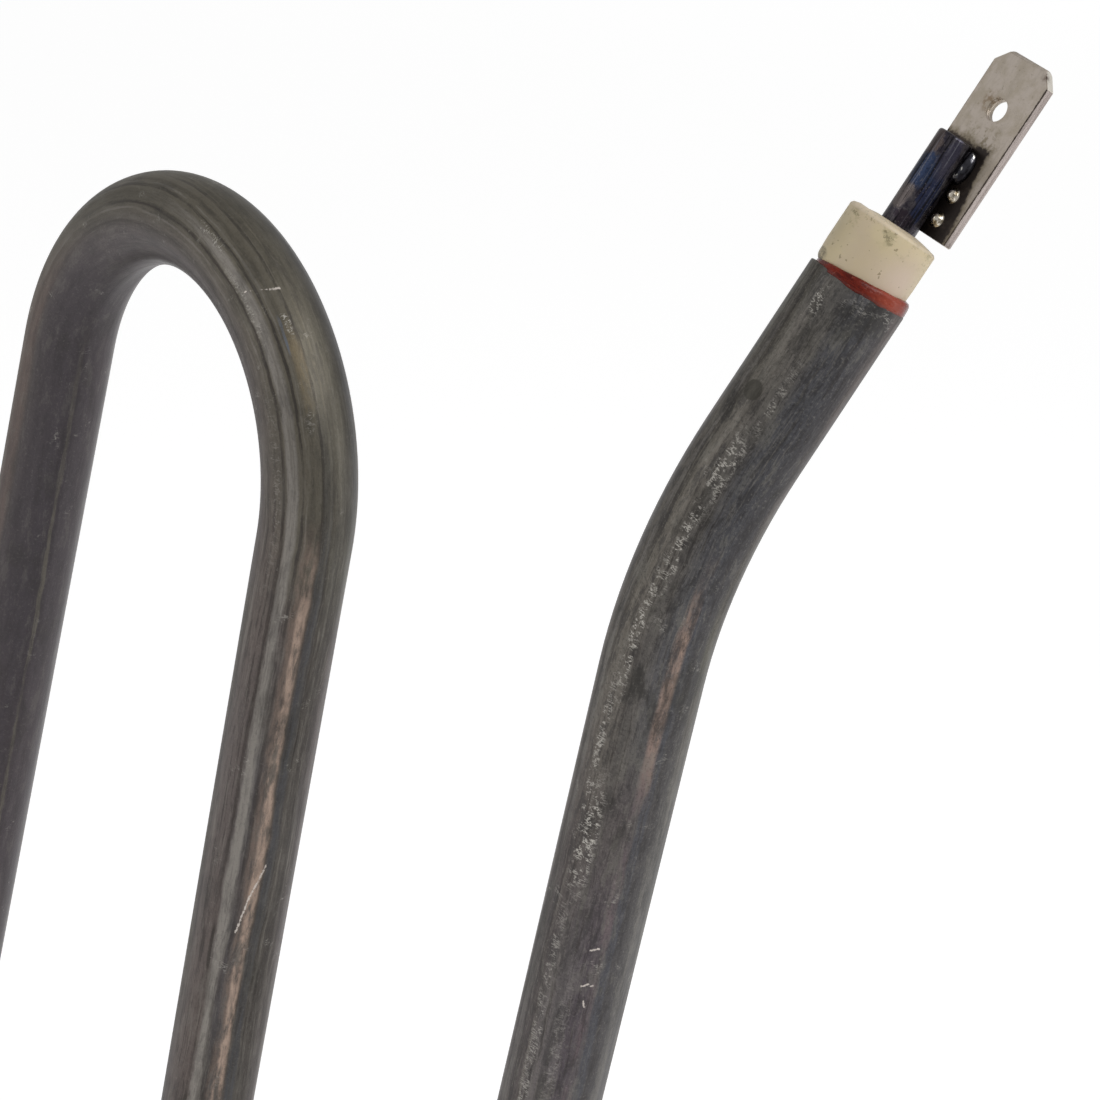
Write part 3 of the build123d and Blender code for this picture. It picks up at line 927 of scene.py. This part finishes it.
seal_profile = [
    # radius, height
    (0.0, -seal_depth),
    (seal_inside, -seal_depth),
    (seal_inside, -0.0001),
    (seal_radius, skirt_height),
    (seal_radius + 0.00002, 0.00010),
    (seal_radius, 0.0003),
    (seal_radius - 0.00002, 0.0006),
    (seal_radius - 0.00008, 0.00084),
    (seal_radius - 0.0002, 0.00098),
    (seal_radius - 0.00045, 0.00105),
    (0.0031, 0.00098),
    (0.0029, 0.0006),
    (0.0, 0.0006),
]
for side, word in ((1, "right"), (-1, "left")):
    points, faces = turned(seal_profile, seal_sides, waver=seal_waver)
    seal = terminal_piece(f"red_seal_{word}", points, faces, side, [red_silicone])
    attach(seal, "root")
    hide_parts(f"silicone_seal_{word}")

# ---- Ceramic bushes: pressed and fired steatite, a domed head on a spigot, pushed over the pin
# into the wet silicone. Unglazed, so handling has left grey specks under the rim.
bush_radius = 0.00368
bush_seat = 0.00025
bush_rim = 0.0049
bush_dome = 0.0005
bush_shoulder = 0.0006
bush_chamfer = 0.00015
bush_bore = 0.00159
bush_sides = 96
shoulder_steps, dome_steps = 6, 8
spigot_radius = 0.0027
spigot_length = 0.004
bush_off = 0.0002
bush_centre = (bush_off * math.cos(push_angle), bush_off * math.sin(push_angle))

# Firing: the head is a little out of round, nipped above the seat, and taller on its low side
head_from = 0.003
out_of_round, nip_share = 0.006, 0.012
nip_height, nip_spread = 0.0007, 0.0006
tall_angle = math.radians(234)
taller = 0.00016

steatite, tree, shader = start_finish("steatite", 0.0, 0.5)
shader.inputs["Subsurface Weight"].default_value = 0.08
shader.inputs["Subsurface Radius"].default_value = (0.0006, 0.0005, 0.0003)
shader.inputs["Subsurface Scale"].default_value = 0.5
own = own_place(tree)
fired = cloud(tree, own, 6000.0, 4.0, 0.6)
specks = cloud(tree, own, 2600.0, 2.0, 0.5)
clouded = streaks(tree, own, (900, 900, 1100), 4.0, 0.65)
grime = streaks(tree, own, (2600, 2600, 3200), 4.0, 0.65)
height = add(tree, "ShaderNodeSeparateXYZ", i0=own).outputs[2]
tone = between(tree, cloud(tree, own, 380.0, 3.0, 0.5), 0.35, 0.65, (204, 188, 152), (198, 181, 152))
pink = spot(tree, own, (0.0034, -0.0005, 0.0020), (0.0034, 0.0034, 0.0034))
tone = blend(tree, pink, tone, paint(206, 187, 168))
olive = spot(tree, own, (-0.0024, -0.0032, 0.0028), (0.0034, 0.0034, 0.0030))
tone = blend(tree, olive, tone, paint(188, 174, 142))
high = ramp(tree, height, 0.0030, 0.0046)
tone = stain(tree, tone, high, (clouded, 0.5, 0.64, 0.0, 0.45, (142, 134, 100)))
clotted = sums(tree, "MULTIPLY", ramp(tree, clouded, 0.45, 0.56), ramp(tree, grime, 0.54, 0.62, 0.0, 0.85))
tone = blend(tree, sums(tree, "MULTIPLY", high, clotted), tone, paint(128, 119, 88))
tone = stain(tree, tone, None, (specks, 0.68, 0.73, 0.0, 0.7, (132, 118, 88)))
corner = spot(tree, own, (-0.0020, -0.0030, 0.0007), (0.0016, 0.0016, 0.0007))
tone = stain(tree, tone, ramp(tree, corner, 0.05, 0.4), (grime, 0.35, 0.6, 0.2, 0.8, (96, 88, 68)))
tone = stain(tree, tone, None, (height, 0.00475, 0.00484, 0.0, 0.45, (212, 198, 178)))
coat(tree, shader, tone, ramp(tree, fired, 0.3, 0.7, 0.42, 0.6), fired, 0.2, 0.00003)

bush_profile = [(bush_bore, -spigot_length), (spigot_radius, -spigot_length), (spigot_radius, bush_seat)]
for i in range(shoulder_steps + 1):
    a = math.pi / 2 * i / shoulder_steps
    drop, rise = bush_shoulder * (1 - math.sin(a)), bush_shoulder * (1 - math.cos(a))
    bush_profile.append((bush_radius - drop, bush_seat + rise))
bush_profile += [
    (bush_radius, bush_rim * 0.4),
    (bush_radius, bush_rim * 0.7),
    (bush_radius, bush_rim - bush_chamfer),
    (bush_radius - 0.00003, bush_rim - 0.00010),
    (bush_radius - 0.00010, bush_rim - 0.00003),
]
dome_ball = (bush_radius**2 + bush_dome**2) / (2 * bush_dome)
for i in range(dome_steps + 1):
    r = (bush_radius - bush_chamfer) * (1 - i / dome_steps) + bush_bore * i / dome_steps
    bush_profile.append((r, bush_rim + math.sqrt(dome_ball**2 - r**2) - (dome_ball - bush_dome)))
bush_profile += [(bush_bore, bush_rim), (bush_bore, -spigot_length)]


def bush_waver(r, h, a):
    """Fired clay is never quite round, and this one stands a shade taller on its low side."""
    if r < head_from:
        return r, h
    soft_wave = noise.noise(Vector((math.cos(a) * 1.3, math.sin(a) * 1.3, h * 300)))
    low_side = (1 + math.cos(a - tall_angle)) / 2
    stretch = (h / bush_rim - 0.5) * 2
    nip = math.exp(-(((h - nip_height) / nip_spread) ** 2))
    return r * (1 + out_of_round * soft_wave - nip_share * nip), h + taller * low_side * stretch


for side, word in ((1, "right"), (-1, "left")):
    points, faces = turned(bush_profile, bush_sides, bush_centre, bush_waver)
    bush = terminal_piece(f"steatite_bush_{word}", points, faces, side, [steatite])
    merge = bush.modifiers.new("merge", "WELD")
    merge.merge_threshold = 1e-7
    apply_all(bush)
    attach(bush, "root")
    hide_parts(f"ceramic_bush_{word}")

# ---- Terminal tabs: push-on blades stamped from nickel-plated strip, 6.3 mm wide. Each is laid
# against its pin and projection welded: the weld burns the foot black and leaves bright pips.
tab_width, tab_length, tab_thickness = 0.0063, 0.0146, 0.0008
tab_corner = 0.0012
tip_bevel, arris_bevel = 0.0002, 0.00006
tab_hole_radius = 0.00091
tab_hole_up = tab_length - 0.0043
hole_sides = 48
tab_foot = 0.0059
tab_shift = 0.00055
tab_turn = math.radians(-4.5)
tab_behind = 0.00125
pip_radius = 0.00052
pip_places = ((0.00112, 0.00136), (0.00112, 0.0034))
lobe_across, lobe_up, lobe_half, lobe_swell = 0.0006, 0.0055, 0.00135, 0.0008
bead_sides, pip_steps, lobe_steps = 28, 8, 18
blade_across = Vector((math.cos(tab_turn), math.sin(tab_turn), 0))
blade_front = Vector((math.sin(tab_turn), -math.cos(tab_turn), 0))
blade_start = blade_across * tab_shift - blade_front * tab_behind + Vector((0, 0, tab_foot))


def on_blade(x, y, z):
    """From the blade's own sizes, across, up and out of its near face, to the upright terminal."""
    return blade_start + blade_across * x + Vector((0, 0, y)) + blade_front * z


nickel_strip, tree, shader = start_finish("nickel_strip", 0.75, 0.4)
own = own_place(tree)
from_start = vector(tree, "SUBTRACT", own, i1=tuple(blade_start))
blade_x, blade_y, blade_z = [
    vector(tree, "DOT_PRODUCT", from_start, i1=tuple(axis))
    for axis in (blade_across, Vector((0, 0, 1)), blade_front)
]
off_middle = sums(tree, "ABSOLUTE", blade_x)
rolled = streaks(tree, own, (3200, 3200, 220), 3.0, 0.55)
tarnish = cloud(tree, own, 700.0, 4.0, 0.65)
grit = cloud(tree, own, 4200.0, 4.0, 0.65)
fray = cloud(tree, own, 2200.0, 4.0, 0.65)
tone = between(tree, tarnish, 0.38, 0.62, (192, 181, 170), (178, 167, 152))
tone = stain(
    tree,
    tone,
    None,
    (rolled, 0.5, 0.7, 0.0, 0.2, (150, 141, 132)),
    (grit, 0.6, 0.7, 0.0, 0.45, (126, 114, 96)),
)


def blade_spot(tree, at, reach):
    """A round mark on the blade's near face, by its place across and up the blade."""
    return spot(tree, own, tuple(on_blade(at[0], at[1], 0)), reach)


def frayed(tree, value, size):
    """A distance made ragged by up to a size each way."""
    return sums(tree, "ADD", value, ramp(tree, fray, 0.3, 0.7, -size, size))


# Rust about the hole, worst on its left, and a stained patch above the pin's end
rusty = blade_spot(tree, (-0.0010, tab_hole_up + 0.0003), (0.0013, 0.0013, 0.0014))
tone = stain(tree, tone, ramp(tree, rusty, 0.0, 0.8), (fray, 0.42, 0.6, 0.05, 0.75, (132, 110, 84)))
above_pin = blade_spot(tree, (0.0004, 0.0082), (0.0030, 0.0020, 0.0018))
tone = stain(tree, tone, above_pin, (fray, 0.48, 0.62, 0.0, 0.7, (126, 114, 88)))

# Cut sides: pinkish grey, with a thin dark line along the arris
side_at = tab_width / 2
side_face = ramp(tree, off_middle, side_at - 0.00006, side_at - 0.00001)
sheared = streaks(tree, own, (5200, 5200, 160), 4.0, 0.7)
tone = blend(tree, side_face, tone, between(tree, sheared, 0.4, 0.6, (178, 167, 162), (152, 141, 136)))
from_edge = sums(tree, "SUBTRACT", side_at, off_middle)
arris = frayed(tree, sums(tree, "MAXIMUM", from_edge, sums(tree, "ABSOLUTE", blade_z)), 0.00003)
tone = stain(tree, tone, None, (arris, 0.00011, 0.00006, 0.0, 0.8, (76, 66, 60)))

# The two cut corners are bright, with a brown bruise on the face beside the one in front
cut_at = side_at + tab_length - tab_corner
past_cut = sums(tree, "ADD", off_middle, blade_y)
tone = stain(tree, tone, None, (past_cut, cut_at - 0.00006, cut_at - 0.00001, 0.0, 1.0, (226, 220, 210)))
bruise = blade_spot(tree, (0.0024, 0.0141), (0.0006, 0.0006, 0.0007))
tone = stain(tree, tone, bruise, (fray, 0.4, 0.6, 0.2, 0.9, (104, 88, 78)))

# Weld burn: black over the foot out to the edge, drawing in and fading olive beside the pin's end
burn_top, burn_foot_width, burn_top_width = 0.0074, 0.00305, 0.0019
burn_edge = ramp(tree, blade_y, 0.0, burn_top, burn_foot_width, burn_top_width)
burn_x = frayed(tree, sums(tree, "SUBTRACT", burn_edge, blade_x), 0.00010)
burn_y = frayed(tree, sums(tree, "SUBTRACT", burn_top, blade_y), 0.00018)
inside_burn = sums(tree, "MINIMUM", burn_x, burn_y)
on_front = ramp(tree, blade_z, -0.0001, 0.0)
olive_burn = sums(tree, "MULTIPLY", ramp(tree, inside_burn, -0.0006, 0.0001, 0.0, 0.65), on_front)
tone = blend(tree, olive_burn, tone, paint(116, 104, 80))
black_burn = sums(tree, "MULTIPLY", ramp(tree, inside_burn, -0.0001, 0.0002), on_front)
tone = blend(tree, black_burn, tone, between(tree, tarnish, 0.45, 0.65, (58, 51, 47), (76, 67, 60)))
side_burn = sums(tree, "MULTIPLY", ramp(tree, blade_y, 0.0016, 0.0, 0.0, 0.5), side_face)
tone = stain(tree, tone, side_burn, (fray, 0.4, 0.6, 0.0, 1.0, (70, 62, 58)))
strip_relief = sums(tree, "ADD", rolled, sums(tree, "MULTIPLY", grit, 0.5))
coat(tree, shader, tone, ramp(tree, black_burn, 0.0, 1.0, 0.42, 0.3), strip_relief, 0.25, 0.00003)

bright_pip, tree, shader = start_finish("bright_pip", 1.0, 0.16)
smoke = cloud(tree, own_place(tree), 2600.0, 3.0, 0.6)
tone = between(tree, smoke, 0.42, 0.62, (214, 206, 192), (112, 100, 78))
coat(tree, shader, tone, ramp(tree, smoke, 0.4, 0.65, 0.12, 0.35))

weld_metal, tree, shader = start_finish("weld_metal", 0.9, 0.16)
flow = streaks(tree, own_place(tree), (2200, 2200, 700), 3.0)
tone = between(tree, flow, 0.4, 0.62, (64, 64, 70), (24, 22, 26))
tone = stain(tree, tone, None, (flow, 0.36, 0.30, 0.0, 1.0, (214, 212, 206)))
coat(tree, shader, tone, relief=flow, strength=0.4)


def blade_shape():
    """The stamped blade in its own sizes: cut corners, bevelled tip and a punched hole."""
    shape = bmesh.new()
    w, h, c = tab_width / 2, tab_length, tab_corner
    outline = [(-w, 0), (w, 0), (w, h - c), (w - c, h), (-w + c, h), (-w, h - c)]
    rim = [shape.verts.new((x, y, 0)) for x, y in outline]
    hole = []
    for k in range(hole_sides):
        a = math.tau * k / hole_sides
        hole.append(shape.verts.new((tab_hole_radius * math.cos(a), tab_hole_up + tab_hole_radius * math.sin(a), 0)))
    edges = []
    for loop in (rim, hole):
        edges += [shape.edges.new((v, loop[(i + 1) % len(loop)])) for i, v in enumerate(loop)]
    bmesh.ops.triangle_fill(shape, edges=edges, use_beauty=True)
    for face in list(shape.faces):
        if (face.calc_center_median() - Vector((0, tab_hole_up, 0))).length < tab_hole_radius * 0.9:
            bmesh.ops.delete(shape, geom=[face], context="FACES_ONLY")
    inner = [e for e in shape.edges if len(e.link_faces) == 2]
    bmesh.ops.dissolve_limit(shape, angle_limit=0.01, verts=[], edges=inner)
    for part in bmesh.ops.extrude_face_region(shape, geom=list(shape.faces))["geom"]:
        if isinstance(part, bmesh.types.BMVert):
            part.co.z -= tab_thickness
    bmesh.ops.recalc_face_normals(shape, faces=shape.faces)

    def along_tip(e):
        low, high = (v.co for v in e.verts)
        return abs(low.y - h) < 1e-7 and abs(high.y - h) < 1e-7 and abs(low.z - high.z) < 1e-7

    tip = [e for e in shape.edges if along_tip(e)]
    bmesh.ops.bevel(shape, geom=tip, offset=tip_bevel, segments=1, affect="EDGES", clamp_overlap=True)
    sharp = [e for e in shape.edges if len(e.link_faces) == 2 and e.calc_face_angle() > math.radians(25)]
    bmesh.ops.bevel(shape, geom=sharp, offset=arris_bevel, segments=2, affect="EDGES", clamp_overlap=True)
    bmesh.ops.triangulate(shape, faces=[f for f in shape.faces if len(f.verts) > 4])
    return shape


def blade_faces(shape):
    """The blade's faces in an order that is the same on every run, and which of them are flat."""
    shape.verts.index_update()
    rows = []
    for face in shape.faces:
        centre = face.calc_center_median()
        off_hole = Vector((centre.x, centre.y - tab_hole_up)).length > tab_hole_radius * 1.3
        flat = abs(face.normal.z) > 0.999 or (abs(face.normal.z) < 0.001 and off_hole)
        rows.append((tuple(v.index for v in face.verts), flat))
    rows.sort(key=lambda row: sorted(row[0]))
    return [corners for corners, flat in rows], [flat for corners, flat in rows]


pip_dome = [(pip_radius * 1.25, -0.00002), (pip_radius * 1.06, 0.00004)]
for i in range(1, pip_steps):
    a = math.pi / 2 * i / pip_steps
    pip_dome.append((pip_radius * math.cos(a), pip_radius * math.sin(a)))
pip_dome.append((0.0, pip_radius))
lobe = []
for i in range(lobe_steps + 1):
    u = -math.cos(math.pi * i / lobe_steps)
    lobe.append((0.0 if i in (0, lobe_steps) else lobe_swell * math.sqrt(1 - u * u), u * lobe_half))

for side, word in ((1, "right"), (-1, "left")):
    shape = blade_shape()
    faces, flats = blade_faces(shape)
    points = [on_blade(*v.co) for v in shape.verts]
    shape.free()
    looks = [0] * len(faces)
    beads = []
    for across_at, up_at in pip_places:
        pip_points, pip_faces = turned(pip_dome, bead_sides)
        beads.append(([on_blade(across_at + p.x, up_at + p.y, p.z) for p in pip_points], pip_faces, 1))
    lobe_points, lobe_faces = turned(lobe, bead_sides)
    beads.append(([on_blade(lobe_across + p.x, lobe_up + p.z, -p.y) for p in lobe_points], lobe_faces, 2))
    for bead_points, bead_faces, look in beads:
        faces += [tuple(len(points) + i for i in f) for f in bead_faces]
        points += bead_points
        looks += [look] * len(bead_faces)
    tab = terminal_piece(f"push_on_tab_{word}", points, faces, side, [nickel_strip, bright_pip, weld_metal], looks)
    for face, flat in zip(tab.data.polygons, flats):
        face.use_smooth = not flat
    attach(tab, "root")
    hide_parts(f"terminal_tab_{word}")
